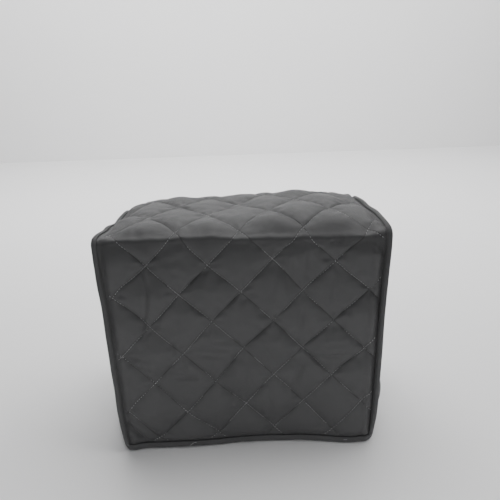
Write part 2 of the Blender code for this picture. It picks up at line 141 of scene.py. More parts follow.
# Sharper creases of the front, in millimetres.
# Columns: from across, from height, to across, to height, half width, depth, ridge on the right or left.
CREASES = (
    (-105, 222, -99, 186, 2.6, 1.1, 1), (-99, 194, -103, 160, 2.4, 1.3, 1),
    (-103, 168, -110, 140, 2.2, 1.1, 1), (-133, 160, -130, 146, 1.8, 0.8, 1),
    (-130, 150, -134, 134, 1.8, 0.7, 1), (-131, 120, -143, 122, 1.6, 0.8, 1),
    (-131, 121, -137, 133, 1.8, 0.8, -1), (-132, 119, -104, 112, 1.9, 0.9, -1),
    (-132, 117, -142, 108, 1.8, 0.6, 1), (-131, 118, -118, 128, 1.8, 0.6, -1),
    (-54, 126, -15, 120, 2.2, 0.9, -1), (-48, 117, -20, 113, 2.0, 0.7, -1),
    (-40, 132, -12, 129, 2.2, 0.6, -1), (-80, 91, -50, 89, 2.6, 1.1, -1),
    (-75, 70, -59, 70, 2.4, 0.7, -1), (-82, 100, -64, 97, 2.2, 0.6, -1),
    (-140, 40, -112, 8, 2.4, 2.6, 1), (-138, 53, -98, 15, 2.8, 1.8, 1),
    (-134, 29, -114, 9, 2.0, 1.6, 1), (67, 232, 64, 198, 3.0, 0.9, -1),
    (51, 224, 50, 208, 2.4, 0.6, -1), (31, 206, 29, 179, 2.6, 0.8, 1),
    (42, 205, 44, 186, 2.4, 0.6, -1), (87, 198, 86, 168, 3.0, 0.8, 1),
    (58, 168, 57, 135, 2.6, 0.9, 1), (22, 66, 26, 33, 2.6, 0.7, 1),
    (14, 60, 15, 40, 2.4, 0.5, -1), (74, 108, 103, 108, 2.4, 1.2, -1),
    (80, 120, 108, 124, 2.6, 0.6, -1), (60, 102, 51, 76, 2.4, 1.0, 1),
    (68, 15, 84, 27, 2.0, 0.7, 1), (133, 110, 135, 66, 1.8, 0.9, -1),
    (134, 236, 141, 216, 2.4, 1.6, -1), (128, 240, 138, 222, 2.0, 0.8, -1),
    (-120, 226, -128, 200, 3.0, 0.5, 1), (0, 92, 4, 74, 2.4, 0.5, 1),
    (110, 60, 118, 44, 2.4, 0.5, -1), (-20, 60, -12, 44, 2.6, 0.5, 1),
    (98, 246, 97, 236, 1.6, 0.9, 1), (90, 245, 89, 235, 1.4, 0.7, -1),
)
SHOULDER = {"left": 0.0010, "right": 0.0024}
SHOULDER_PLACE = 0.0070
SHOULDER_REACH = 0.0045
PUFF = 0.0036
PUFF_SHARPNESS = 0.62
# Columns: height, size of the lumps in a puff.
LUMPS = ((0.0004, 0.010), (0.0010, 0.026))
PUCKER = 0.0008
PUCKER_LENGTH = 0.0068
PUCKER_REACH = 0.0080
PUCKER_START = 0.0025
FAN = 0.00045
FAN_REACH = 0.013
FAN_START = 0.004
SHARP_RADIUS = 0.0012
SHARP_STRETCH = 0.0120
FOLD_TIGHTNESS = 0.80
FOLD_TIGHT_REACH = 0.0095
# Columns: place across, how far the front fold sags below its straight line.
FOLD_SAG = (
    (-0.140, 0.0000),
    (-0.040, 0.0000),
    (0.012, 0.0026),
    (0.047, 0.0034),
    (0.088, 0.0042),
    (0.140, 0.0044),
)
FOLD_SAG_REACH = 0.012
FOLD_RIPPLE = 0.0010
# The column given to the seam allowances, which lie off the quilted pattern.
OFF_PATTERN = 50.0
# Heights of the bump in millimetres, the crease's width as a share of the way between two lines,
# and how much of the cloth's colour is left in the crease's painted shade.
WEAVE_HEIGHT = 0.10
CRUMPLE_HEIGHT = 0.30
CREASE_DEPTH = 0.35
CREASE_WIDTH = 0.019
PAINTED_CREASE_SHADE = 0.35

FRONT_LENGTH = FOLD_HEIGHT / math.cos(LEAN)
HALF_DEPTH_AT_FOLD = HALF_DEPTH_AT_HEM - FOLD_HEIGHT * math.tan(LEAN)
FOLD_TURN = math.pi / 2 - LEAN
FOLD_TANGENT = FOLD_RADIUS * math.tan(FOLD_TURN / 2)
FOLD_START = FRONT_LENGTH - FOLD_TANGENT
FOLD_END = FOLD_START + FOLD_RADIUS * FOLD_TURN
FOLD_MIDDLE = (FOLD_START + FOLD_END) / 2
MIDDLE = FOLD_END + HALF_DEPTH_AT_FOLD - FOLD_TANGENT
CLOTH_START = (HEM_TAPE_HEIGHT + HEM_CLEARANCE) / math.cos(LEAN)
FOLD_END_ROW = HEM_ROW - FOLD_END / ROW_PITCH
TOP_ROW_PITCH = (MIDDLE - FOLD_END) / (FOLD_END_ROW - MIDDLE_ROW)
DIAMONDS = np.random.default_rng(12).uniform(0.78, 1.22, (64, 64))
FANS = np.random.default_rng(5).uniform(0, 2 * math.pi, (64, 64))


def smooth(value):
    value = np.clip(value, 0.0, 1.0)
    return value * value * (3 - 2 * value)


def wave_at(table, place):
    places = [row[0] for row in table]
    heights = [row[1] for row in table]
    place = np.clip(place, places[0], places[-1])
    after = np.clip(np.searchsorted(places, place), 1, len(places) - 1)
    low, high = np.take(heights, after - 1), np.take(heights, after)
    start, end = np.take(places, after - 1), np.take(places, after)
    return low + (high - low) * smooth((place - start) / (end - start))


def row_at(length):
    return np.where(length <= FOLD_END, HEM_ROW - length / ROW_PITCH,
                    FOLD_END_ROW - (length - FOLD_END) / TOP_ROW_PITCH)


def length_at(row):
    """Length up the nearer half of the panel, and +1 on the front or -1 on the back."""
    face = np.where(row >= MIDDLE_ROW, 1.0, -1.0)
    near = np.where(row >= MIDDLE_ROW, row, 2 * MIDDLE_ROW - row)
    below = (HEM_ROW - near) * ROW_PITCH
    above = FOLD_END + (FOLD_END_ROW - near) * TOP_ROW_PITCH
    return np.where(near >= FOLD_END_ROW, below, above), face


def section(length, face, radius=FOLD_RADIUS):
    """Depth, height and outward direction (depth, height) of the cover's section."""
    slack = (FOLD_RADIUS - radius) * (math.tan(FOLD_TURN / 2) - FOLD_TURN / 2)
    signed = length - FOLD_MIDDLE
    reach = np.abs(signed) + slack * np.minimum(1, np.abs(signed) / SHARP_STRETCH)
    past = np.maximum(reach - radius * FOLD_TURN / 2, 0)
    angle = LEAN + FOLD_TURN / 2 + np.sign(signed) * np.minimum(reach / radius, FOLD_TURN / 2)
    middle = LEAN + FOLD_TURN / 2
    centre_depth = -HALF_DEPTH_AT_FOLD + math.cos(middle) * radius / math.cos(FOLD_TURN / 2)
    centre_height = FOLD_HEIGHT - math.sin(middle) * radius / math.cos(FOLD_TURN / 2)
    down = np.where(signed < 0, past, 0)
    over = np.where(signed > 0, past, 0)
    depth = centre_depth - radius * np.cos(angle) - down * math.sin(LEAN) + over
    height = centre_height + radius * np.sin(angle) - down * math.cos(LEAN)
    turn = np.clip((length - FOLD_START) / (FOLD_END - FOLD_START), 0, 1) * math.pi / 2
    return depth * face, height, -np.cos(turn) * face, np.sin(turn)


def top_swell(across, length):
    share = np.clip((length - FOLD_MIDDLE) / (MIDDLE - FOLD_MIDDLE), 0, 1)
    return (1 - (1 - share) ** 4) * wave_at(CROWN, across)


def way_over(length, face):
    share = np.clip((length - FOLD_MIDDLE) / (MIDDLE - FOLD_MIDDLE), 0, 1) / 2
    return np.where(face > 0, share, 1 - share)


def seam_reach(side, length, face):
    below = np.maximum(0, FOLD_MIDDLE - length)
    pull = wave_at(SEAM_PULL[side], way_over(length, face)) * smooth(1 - below / SEAM_PULL_FADE)
    return HALF_WIDTH + wave_at(SEAM_SPREAD, length) - pull


def seam_drop(side, length, face):
    return wave_at(SEAM_DROP[side], way_over(length, face)) * np.minimum(1, length / FOLD_MIDDLE)


def soft_fold(across, height, place, level, half_length, half_width, turn):
    lean = math.radians(turn)
    along = (across - place) * math.sin(lean) + (height - level) * math.cos(lean)
    aside = (across - place) * math.cos(lean) - (height - level) * math.sin(lean)
    return np.exp(-((along / half_length) ** 2) - (aside / half_width) ** 2)


def drape(across, length, face):
    out = np.zeros_like(across)
    for fold_face, place, level, half_length, half_width, turn, depth in DRAPE_FOLDS:
        side = 1.0 if fold_face == "front" else -1.0
        fold = soft_fold(across, length, place, level, half_length, half_width, turn)
        out += np.where(face == side, depth * fold, 0.0)
    out *= smooth((FOLD_START - length) / 0.03) * smooth((HALF_WIDTH - np.abs(across)) / 0.008)
    out *= 0.35 + 0.65 * smooth((length - CLOTH_START) / 0.03)
    hem_share = smooth(1 - (length - CLOTH_START) / HEM_WAVE_HEIGHT)
    return out + hem_share * wave_at(HEM_WAVE, across * face)


def creased(across, length, face):
    """Narrow troughs with a ridge beside them, fading out at both ends."""
    out = np.zeros_like(across)
    for x0, z0, x1, z1, half_width, depth, ridge in CREASES:
        reach = math.hypot(x1 - x0, z1 - z0)
        along_x, along_z = (x1 - x0) / reach, (z1 - z0) / reach
        east = across * 1000 - x0
        north = length * 1000 - z0
        share = np.clip((east * along_x + north * along_z) / reach, 0, 1)
        aside = (east * along_z - north * along_x) * (-ridge if along_z < 0 else ridge)
        aside = aside / half_width
        profile = -np.exp(-aside ** 2) + 0.55 * np.exp(-((aside - 1.9) / 1.3) ** 2)
        out += np.where(face > 0, depth / 1000 * profile * np.sin(math.pi * share) ** 0.7, 0.0)
    return out


def rough(places, size, seed):
    """Soft random heights between about -1 and 1 at flat places, given in metres."""
    flat = places.reshape(-1, 2)
    heights = [noise.noise(Vector((u / size, v / size, seed))) for u, v in flat]
    return np.array(heights).reshape(places.shape[:-1]) * 1.6


def quilting(column, row, seed):
    """Height of the quilted cloth over its own middle surface, from its column and row."""
    rising = (column + row - 1) / 2
    falling = (column - row - 1) / 2
    puff = np.abs(np.sin(math.pi * rising) * np.sin(math.pi * falling)) ** PUFF_SHARPNESS
    fullness = DIAMONDS[np.floor(rising).astype(int) % 64, np.floor(falling).astype(int) % 64]
    flat = np.stack([column * HALF_DIAMOND, row * ROW_PITCH], axis=-1)
    (fine, fine_size), (broad, broad_size) = LUMPS
    lumps = fine * rough(flat, fine_size, seed + 5.7) + broad * rough(flat, broad_size, seed + 1.3)
    relief = PUFF * puff * fullness + puff * lumps
    for across_line, along_line, shift in ((rising, falling, 0.0), (falling, rising, 40.0)):
        offset = np.abs(across_line - np.round(across_line)) * 2 * HALF_DIAMOND / math.sqrt(2)
        line = np.round(across_line)
        travel = along_line * 2 * HALF_DIAMOND / math.sqrt(2)
        lengthwise = np.stack([travel, line * 0.05 + shift], axis=-1)
        pucker = PUCKER * rough(lengthwise, PUCKER_LENGTH, seed + 9.2 + shift)
        relief += pucker * np.exp(-(offset / PUCKER_REACH) ** 2) * np.minimum(1, offset / PUCKER_START)
    near_rising, near_falling = np.round(rising), np.round(falling)
    east = (column - near_rising - near_falling - 1) * HALF_DIAMOND
    north = (near_rising - near_falling - row) * ROW_PITCH
    reach = np.hypot(east, north)
    bearing = np.arctan2(north, east)
    start = FANS[near_rising.astype(int) % 64, near_falling.astype(int) % 64]
    fan = np.sin(6 * bearing + start) + 0.7 * np.sin(9 * bearing - 2 * start)
    return relief + FAN * fan * np.exp(-(reach / FAN_REACH) ** 2) * np.minimum(1, reach / FAN_START)


def wander(column, row):
    """How far the stitched pattern is shifted across and up, in metres."""
    weights = np.full_like(column, 0.02)
    across = np.zeros_like(column)
    up = np.zeros_like(column)
    for place, level, east, north in WANDER:
        weight = np.exp(-((column - place) ** 2 + (row - level) ** 2) / WANDER_REACH ** 2)
        weights += weight
        across += weight * east / 1000
        up += weight * north / 1000
    return across / weights, up / weights


def panel_points(column, row):
    """Points of the main panel's middle surface between its seams."""
    length, face = length_at(row)
    plain = -HALF_WIDTH + (column - LEFT_SEAM_COLUMN) * HALF_DIAMOND
    from_edge = np.minimum(HALF_WIDTH - np.abs(plain), np.abs(length - CLOTH_START) * 1.3)
    east, north = wander(column, row)
    held = smooth(from_edge / 0.020)
    plain = plain + east * held
    length = length + north * held * face
    inland = smooth((HALF_WIDTH - np.abs(plain) - 0.002) / 0.014)
    radius = FOLD_RADIUS + (SHARP_RADIUS - FOLD_RADIUS) * inland
    depth, height, out_depth, out_height = section(length, face, radius)
    reach = np.where(plain < 0, seam_reach("left", length, face), seam_reach("right", length, face))
    drop = np.where(plain < 0, seam_drop("left", length, face), seam_drop("right", length, face))
    beyond = np.clip((np.abs(plain) - LEVEL_WIDTH) / (HALF_WIDTH - LEVEL_WIDTH), 0, None)
    across = np.where(beyond > 0, np.sign(plain) * (LEVEL_WIDTH + beyond * (reach - LEVEL_WIDTH)), plain)
    rise = top_swell(across, length) + drape(across, length, face)
    tight = 1 - FOLD_TIGHTNESS * np.exp(-((length - FOLD_MIDDLE) / FOLD_TIGHT_REACH) ** 2)
    rise += quilting(column, row, 0.0) * tight * smooth((from_edge - 0.0005) / 0.009)
    rise += creased(across, length, face) * smooth(from_edge / 0.004)
    from_seam = HALF_WIDTH - np.abs(plain)
    shoulder = np.where(plain < 0, SHOULDER["left"], SHOULDER["right"]) * (length < FOLD_START + 0.02)
    rise += shoulder * np.exp(-((from_seam - SHOULDER_PLACE) / SHOULDER_REACH) ** 2)
    sunk = drop * np.minimum(1, np.abs(across) / reach) ** SEAM_DROP_SQUARENESS
    at_fold = np.exp(-((length - FOLD_MIDDLE) / FOLD_SAG_REACH) ** 2) * (face > 0)
    at_fold = at_fold * smooth(from_seam / 0.010)
    along_fold = np.stack([across, np.full_like(across, 0.3)], axis=-1)
    sunk += at_fold * (wave_at(FOLD_SAG, across) + FOLD_RIPPLE * rough(along_fold, 0.011, 77.0))
    return np.stack([across, depth + out_depth * rise, height + out_height * rise - sunk], axis=-1)


def seam_frame(side, row):
    """The sewn line, the way the seam stands, and the way across its layers."""
    sign = -1.0 if side == "left" else 1.0
    length, face = length_at(row)
    depth, height, out_depth, out_height = section(length, face)
    swell = top_swell(np.full_like(length, sign * HALF_WIDTH), length)
    reach = seam_reach(side, length, face)
    fallen = height + out_height * swell - seam_drop(side, length, face)
    sewn = np.stack([sign * reach, depth + out_depth * swell, fallen], axis=-1)
    on_top = smooth(1 - (FOLD_START - length) / SEAM_TURN_FADE)
    turn = (SEAM_TURN[side] + (SEAM_TURN_ON_TOP[side] - SEAM_TURN[side]) * on_top)[..., None]
    out = np.stack([np.zeros_like(length), out_depth, out_height], axis=-1)
    aside = np.array([sign, 0.0, 0.0])
    return sewn, aside * np.cos(turn) + out * np.sin(turn), out * np.cos(turn) - aside * np.sin(turn)


def seam_allowance(row):
    length, face = length_at(row)
    near_hem = np.maximum(0, 1 - (length - CLOTH_START) / SEAM_TAPER)
    return (SEAM_ALLOWANCE + (SEAM_ALLOWANCE_AT_HEM - SEAM_ALLOWANCE) * near_hem ** 2)[..., None]


def grid_piece(name, points, lattice, flat, full):
    """Shape a flat grid into cloth: cut along the stitch lines, and keep its flat layout as a UV map."""
    tall, wide = points.shape[:2]
    bpy.ops.object.select_all(action="DESELECT")
    bpy.ops.mesh.primitive_grid_add(x_subdivisions=wide - 1, y_subdivisions=tall - 1, size=1,
                                    location=(0, 0, 0))
    piece = bpy.context.object
    piece.name = name
    piece.data.name = name
    mesh = piece.data
    mesh.vertices.foreach_set("co", points.reshape(-1).astype(np.float32))
    shape = bmesh.new()
    shape.from_mesh(mesh)
    shape.verts.ensure_lookup_table()
    sums = np.round((lattice[..., 0] + lattice[..., 1]) * STEPS, 4).reshape(-1)
    differences = np.round((lattice[..., 0] - lattice[..., 1]) * STEPS, 4).reshape(-1)
    for face in list(shape.faces):
        corner = [vertex.index for vertex in face.verts]
        for first, second in ((0, 2), (1, 3)):
            for values in (sums, differences):
                value = values[corner[first]]
                on_line = abs((value - STEPS + 0.5) % (2 * STEPS) - 0.5) < 0.01
                if on_line and abs(value - values[corner[second]]) < 0.01:
                    bmesh.utils.face_split(face, face.verts[first], face.verts[second])
                    break
            else:
                continue
            break
    layouts = {"cloth": flat.reshape(-1, 2), "quilting": lattice.reshape(-1, 2)}
    layers = {key: shape.loops.layers.uv.new(key) for key in layouts}
    for face in shape.faces:
        for loop in face.loops:
            for key, spread in layouts.items():
                loop[layers[key]].uv = spread[loop.vert.index]
        face.smooth = True
    shape.to_mesh(mesh)
    shape.free()
    for old in [found for found in mesh.uv_layers if found.name not in layouts]:
        mesh.uv_layers.remove(old)
    group = piece.vertex_groups.new(name="full")
    thick = np.flatnonzero(full.reshape(-1))
    group.add([int(index) for index in thick], 1.0, "REPLACE")
    return piece


def thicken(piece, thickness):
    """Give the cloth its thickness, and return where its outer face lies.

    An even offset would throw long spikes at the sharp corners, so it stays off.
    """
    count = len(piece.data.vertices)
    solid = piece.modifiers.new("thickness", "SOLIDIFY")
    solid.thickness = thickness
    solid.offset = 0.0
    solid.use_even_offset = False
    solid.vertex_group = "full"
    solid.thickness_vertex_group = PRESSED_CLOTH / thickness
    bpy.context.view_layer.objects.active = piece
    bpy.ops.object.modifier_apply(modifier=solid.name)
    places = np.empty(len(piece.data.vertices) * 3, dtype=np.float32)
    piece.data.vertices.foreach_get("co", places)
    return places.reshape(-1, 3)[:count].astype(float)


def length_along(line):
    """How far each point of a line is from its first, measured along it."""
    steps = np.linalg.norm(np.diff(line, axis=0), axis=1)
    return np.concatenate([[0], np.cumsum(steps)])


class Wire:
    """A shader socket that takes part in Python sums."""

    def __init__(self, tree, socket):
        self.tree = tree
        self.socket = socket

    def join(self, other, operation, flipped=False):
        made = self.tree.nodes.new("ShaderNodeMath")
        made.operation = operation
        pair = (other, self) if flipped else (self, other)
        for place, value in zip(made.inputs, pair):
            if isinstance(value, Wire):
                self.tree.links.new(value.socket, place)
            else:
                place.default_value = value
        return Wire(self.tree, made.outputs[0])

    def __add__(self, other):
        return self.join(other, "ADD")

    def __mul__(self, other):
        return self.join(other, "MULTIPLY")

    def __sub__(self, other):
        return self.join(other, "SUBTRACT")

    def __rsub__(self, other):
        return self.join(other, "SUBTRACT", flipped=True)

    __radd__ = __add__
    __rmul__ = __mul__

    def sine(self):
        return self.join(0.0, "SINE")

    def from_whole(self):
        return self.join(0.5, "PINGPONG")

    def least(self, other):
        return self.join(other, "MINIMUM")


class Finish:
    """A material under construction, with one method for any node."""

    def __init__(self, name, roughness, sheen):
        self.material = bpy.data.materials.new(name)
        self.material.use_nodes = True
        self.tree = self.material.node_tree
        self.shader = self.tree.nodes["Principled BSDF"]
        self.shader.inputs["Roughness"].default_value = roughness
        self.shader.inputs["Sheen Weight"].default_value = sheen
        self.shader.inputs["Sheen Roughness"].default_value = 0.45

    def node(self, kind, settings=None, **inputs):
        made = self.tree.nodes.new(kind)
        for name, value in (settings or {}).items():
            setattr(made, name, value)
        for name, value in inputs.items():
            socket = made.inputs[name.replace("_", " ")]
            if isinstance(value, Wire):
                self.tree.links.new(value.socket, socket)
            else:
                socket.default_value = value
        return made

    def wire(self, node, output=0):
        return Wire(self.tree, node.outputs[output])

    def layout(self, name):
        flat = self.wire(self.node("ShaderNodeUVMap", {"uv_map": name}))
        parts = self.node("ShaderNodeSeparateXYZ", Vector=flat)
        return self.wire(parts, "X"), self.wire(parts, "Y")

    def cloud(self, size, detail=3.0):
        place = self.wire(self.node("ShaderNodeTexCoord"), "Object")
        return self.wire(self.node("ShaderNodeTexNoise", Vector=place, Scale=1 / size, Detail=detail), 0)

    def colour_between(self, dark, light, share, off_crease=None):
        """Mix two colours by a share, and darken them with painted shade where the given crease value is
        low.
        """
        mix = self.node("ShaderNodeMix", {"data_type": "RGBA"})
        self.tree.links.new(share.socket, mix.inputs[0])
        mix.inputs[6].default_value = (*dark, 1)
        mix.inputs[7].default_value = (*light, 1)
        if off_crease is not None:
            shade = self.node("ShaderNodeMix", {"data_type": "RGBA"})
            self.tree.links.new(off_crease.socket, shade.inputs[0])
            shade.inputs[6].default_value = (*(part * PAINTED_CREASE_SHADE for part in dark), 1)
            self.tree.links.new(mix.outputs[2], shade.inputs[7])
            mix = shade
        self.tree.links.new(mix.outputs[2], self.shader.inputs["Base Color"])

    def bump(self, height, distance, strength):
        made = self.node("ShaderNodeBump", Height=height, Distance=distance, Strength=strength)
        self.tree.links.new(made.outputs["Normal"], self.shader.inputs["Normal"])


def woven(name, dark, light, roughness, sheen, thread, ribbed=0.0, quilted=False):
    """Threads over and under each other, in soft patches, with a crease along each quilted line, bumped in
    and darkened with painted shade.
    """
    finish = Finish(name, roughness, sheen)
    u, v = finish.layout("cloth")
    turn = 2 * math.pi / thread
    over = (u * turn).sine()
    under = (v * turn).sine()
    weave = (over * under) * 0.5 + 0.5
    ribs = (v * (turn / 2.2)).sine() * ribbed
    fine = finish.cloud(0.0016, 4.0)
    broad = finish.cloud(0.035, 3.0)
    share = weave * 0.25 + fine * 0.35 + broad * 0.55 - 0.10
    height = (weave + ribs + fine * 0.8) * WEAVE_HEIGHT
    if not quilted:
        finish.colour_between(dark, light, share)
        finish.bump(height, 0.001, 0.55)
        return finish.material
    column, row = finish.layout("quilting")
    rising = ((column + row - 1) * 0.5).from_whole()
    falling = ((column - row - 1) * 0.5).from_whole()
    line = rising.least(falling) * (1 / CREASE_WIDTH)
    off_crease = line.least(1.0)
    crumple = finish.cloud(0.007, 4.0)
    # Painted shade: the cloth's colour darkens along each quilted line, where the crease lies in shade.
    finish.colour_between(dark, light, share, off_crease)
    finish.bump(height + off_crease * CREASE_DEPTH + crumple * CRUMPLE_HEIGHT, 0.001, 0.8)
    return finish.material


cloth_finish = woven("charcoal quilted polyester", dark=(0.026, 0.026, 0.027), light=(0.045, 0.045, 0.046),
                     roughness=0.56, sheen=0.05, thread=0.00062, quilted=True)
start_row = float(row_at(CLOTH_START))
end_row = 2 * MIDDLE_ROW - start_row
even = np.arange(math.floor(end_row * STEPS) + 1, math.ceil(start_row * STEPS)) / STEPS
folds = np.linspace(float(row_at(FOLD_START)), float(row_at(FOLD_END)), ROWS_IN_FOLD)
folds = np.concatenate([folds, 2 * MIDDLE_ROW - folds])
extra = [row for row in folds if np.abs(even - row).min() > 0.2 / STEPS]
panel_rows = np.sort(np.concatenate([even, extra, [start_row, end_row]]))[::-1]
panel_rows = panel_rows[(panel_rows <= start_row) & (panel_rows >= end_row)]
first_column = math.ceil((LEFT_SEAM_COLUMN + 0.05) * STEPS)
panel_columns = np.arange(first_column, math.floor((RIGHT_SEAM_COLUMN - 0.05) * STEPS) + 1) / STEPS
column_grid, row_grid = np.meshgrid(panel_columns, panel_rows)
body = panel_points(column_grid, row_grid)
edges = {}
for side in ("left", "right"):
    sewn, stand, across = seam_frame(side, panel_rows)
    layer_line = sewn + across * LAYER_OFFSET
    reach = seam_allowance(panel_rows)
    edges[side] = [layer_line, layer_line + stand * reach / 2, layer_line + stand * reach]
left_edge = np.stack(edges["left"][::-1], axis=1)
right_edge = np.stack(edges["right"], axis=1)
panel = np.concatenate([left_edge, body, right_edge], axis=1)
edge_points = len(edges["left"])
outside = np.full((len(panel_rows), edge_points), OFF_PATTERN)
lattice_columns = np.concatenate([outside, column_grid, outside], axis=1)
panel_lattice = np.stack([lattice_columns, np.repeat(panel_rows[:, None], panel.shape[1], axis=1)], axis=-1)
running = length_along(panel[:, panel.shape[1] // 2])
widths = np.linalg.norm(np.diff(panel, axis=1), axis=2).mean(axis=0)
spread = np.concatenate([[0], np.cumsum(widths)])
panel_flat = np.stack(np.meshgrid(spread, running), axis=-1)
panel_full = np.zeros(panel.shape[:2], dtype=bool)
panel_full[:, edge_points:-edge_points] = True
main_panel = grid_piece("cover_main_panel", panel, panel_lattice, panel_flat, panel_full)
panel_outer = thicken(main_panel, CLOTH).reshape(panel.shape)
main_panel.data.materials.clear()
main_panel.data.materials.append(cloth_finish)
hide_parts("main_panel")
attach(main_panel, "root")

# The two end panels.
# Each is one piece of the same quilted cloth, cut to the shape of the cover's section and sewn to
# the main panel on three sides. It swells most low down, where nothing holds it in.
# Columns of the values: swell at the hem, how fast it dies away upwards, squareness front to back.
END_SWELL = {
    "left": (0.0219, 1.25, 0.75),
    "right": (0.0205, 0.80, 0.75),
}


def end_panel(side):
    sign = -1.0 if side == "left" else 1.0
    swell, fade, squareness = END_SWELL[side]
    corner_row = float(row_at(FOLD_MIDDLE))
    back_corner = 2 * MIDDLE_ROW - corner_row
    clear = 0.25 / STEPS
    up = panel_rows[panel_rows > corner_row + clear]
    up = np.concatenate([up, [corner_row]])
    over = even[(even < corner_row - clear) & (even > back_corner + clear)][::-1]
    over = np.concatenate([[corner_row], over, [back_corner]])

    def sewn_line(rows):
        sewn, stand, across = seam_frame(side, rows)
        return sewn - across * LAYER_OFFSET

    front_edge = sewn_line(up)
    back_edge = sewn_line(2 * MIDDLE_ROW - up)
    top_edge = sewn_line(over)
    share_over = (top_edge[:, 1] - top_edge[0, 1]) / (top_edge[-1, 1] - top_edge[0, 1])
    share_up = (front_edge[:, 2] - front_edge[0, 2]) / (front_edge[-1, 2] - front_edge[0, 2])
    s = share_over[None, :, None]
    t = share_up[:, None, None]
    bottom = front_edge[0] * (1 - s) + back_edge[0] * s
    sides = (1 - s) * front_edge[:, None] + s * back_edge[:, None]
    ends = (1 - t) * bottom + t * top_edge[None]
    low = (1 - s) * front_edge[0] + s * back_edge[0]
    high = (1 - s) * front_edge[-1] + s * back_edge[-1]
    points = sides + ends - (1 - t) * low - t * high
    column_grid, row_grid = np.meshgrid(over, up)
    across_share, up_share = np.meshgrid(share_over, share_up)
    bulge = swell * np.sin(math.pi * across_share) ** squareness * (1 - up_share) ** fade
    from_edge = np.minimum(np.minimum(across_share, 1 - across_share) * 0.15, (1 - up_share) * 0.24)
    from_edge = np.minimum(from_edge, up_share * 0.24 * 1.3)
    relief = quilting(column_grid, row_grid, 70.0 * sign) * smooth((from_edge - 0.0005) / 0.010)
    points[..., 0] += sign * (bulge + relief)
    flat = np.stack(np.meshgrid(length_along(points[0]), length_along(points[:, 20])), axis=-1)
    full =np.zeros(points.shape[:2], dtype=bool)
    full[:-1, 1:-1] = True
    if side == "left":
        points = points[:, ::-1]
        column_grid = column_grid[:, ::-1]
        flat = flat[:, ::-1]
    lattice = np.stack([column_grid, row_grid], axis=-1)
    piece = grid_piece("cover_end_" + side, points, lattice, flat, full)
    tall, wide = points.shape[:2]
    order = {}
    columns = over if side == "right" else over[::-1]
    for index in range(tall):
        rows = (up[index], 2 * MIDDLE_ROW - up[index])
        first, last = rows if side == "right" else rows[::-1]
        order[index * wide] = first
        order[index * wide + wide - 1] = last
    for index in range(wide):
        order[(tall - 1) * wide + index] = columns[index]
    shape = bmesh.new()
    shape.from_mesh(piece.data)
    shape.verts.ensure_lookup_table()
    ring = {shape.verts[index]: row for index, row in order.items()}
    for part in (1, 2):
        rim = [edge for edge in shape.edges if edge.is_boundary]
        border = [edge for edge in rim if all(end in ring for end in edge.verts)]
        grown = bmesh.ops.extrude_edge_only(shape, edges=border)
        following = {}
        for vertex in [item for item in grown["geom"] if isinstance(item, bmesh.types.BMVert)]:
            neighbours = [edge.other_vert(vertex) for edge in vertex.link_edges]
            base = next(neighbour for neighbour in neighbours if neighbour in ring)
            row = np.array([ring[base]])
            sewn, stand, across = seam_frame(side, row)
            vertex.co = (sewn - across * LAYER_OFFSET + stand * seam_allowance(row) * part / 2)[0]
            following[vertex] = ring[base]
        ring = following
    for face in shape.faces:
        face.smooth = True
    bmesh.ops.recalc_face_normals(shape, faces=shape.faces)
    shape.to_mesh(piece.data)
    shape.free()
    outer = thicken(piece, CLOTH)[:tall * wide].reshape(tall, wide, 3)
    piece.data.materials.clear()
    piece.data.materials.append(cloth_finish)
    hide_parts("side_" + side)
    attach(piece, "root")
    return piece, outer, lattice


ends = {side: end_panel(side) for side in ("left", "right")}

# The seam bindings.
# Dark woven tape, folded over the raw edges of each seam and stitched through. It runs from the
# front hem up, over the top and down to the back hem.
TAPE = 0.0009
TAPE_START = 0.0014
TAPE_BEND = 0.00035
TAPE_EDGE_WAVER = 0.00035
TAPE_RIPPLE = 0.00018
tape_finish = woven("dark binding tape", dark=(0.036, 0.036, 0.037), light=(0.060, 0.060, 0.061),
                    roughness=0.78, sheen=0.08, thread=0.0008, ribbed=0.5)


def loft(name, rings, closed, flat):
    """Join a row of like sections, each with the same number of points, into one closed body."""
    count, around = rings.shape[:2]
    bpy.ops.object.select_all(action="DESELECT")
    bpy.ops.mesh.primitive_grid_add(x_subdivisions=around, y_subdivisions=count - 1 + closed, size=1,
                                    location=(0, 0, 0))
    piece = bpy.context.object
    piece.name = name
    piece.data.name = name
    shape = bmesh.new()
    shape.from_mesh(piece.data)
    shape.verts.ensure_lookup_table()
    layer = shape.loops.layers.uv.verify()
    wide = around + 1
    for vertex in shape.verts:
        ring, place = divmod(vertex.index, wide)
        vertex.co = rings[ring % count][place % around]
        for loop in vertex.link_loops:
            loop[layer].uv = flat(ring, place)
    bmesh.ops.remove_doubles(shape, verts=shape.verts, dist=0.000001)
    open_edges = [edge for edge in shape.edges if edge.is_boundary]
    if open_edges:
        bmesh.ops.holes_fill(shape, edges=open_edges, sides=0)
    bmesh.ops.recalc_face_normals(shape, faces=shape.faces)
    for face in shape.faces:
        face.smooth = True
    shape.to_mesh(piece.data)
    shape.free()
    piece.data.uv_layers[0].name = "cloth"
    return piece


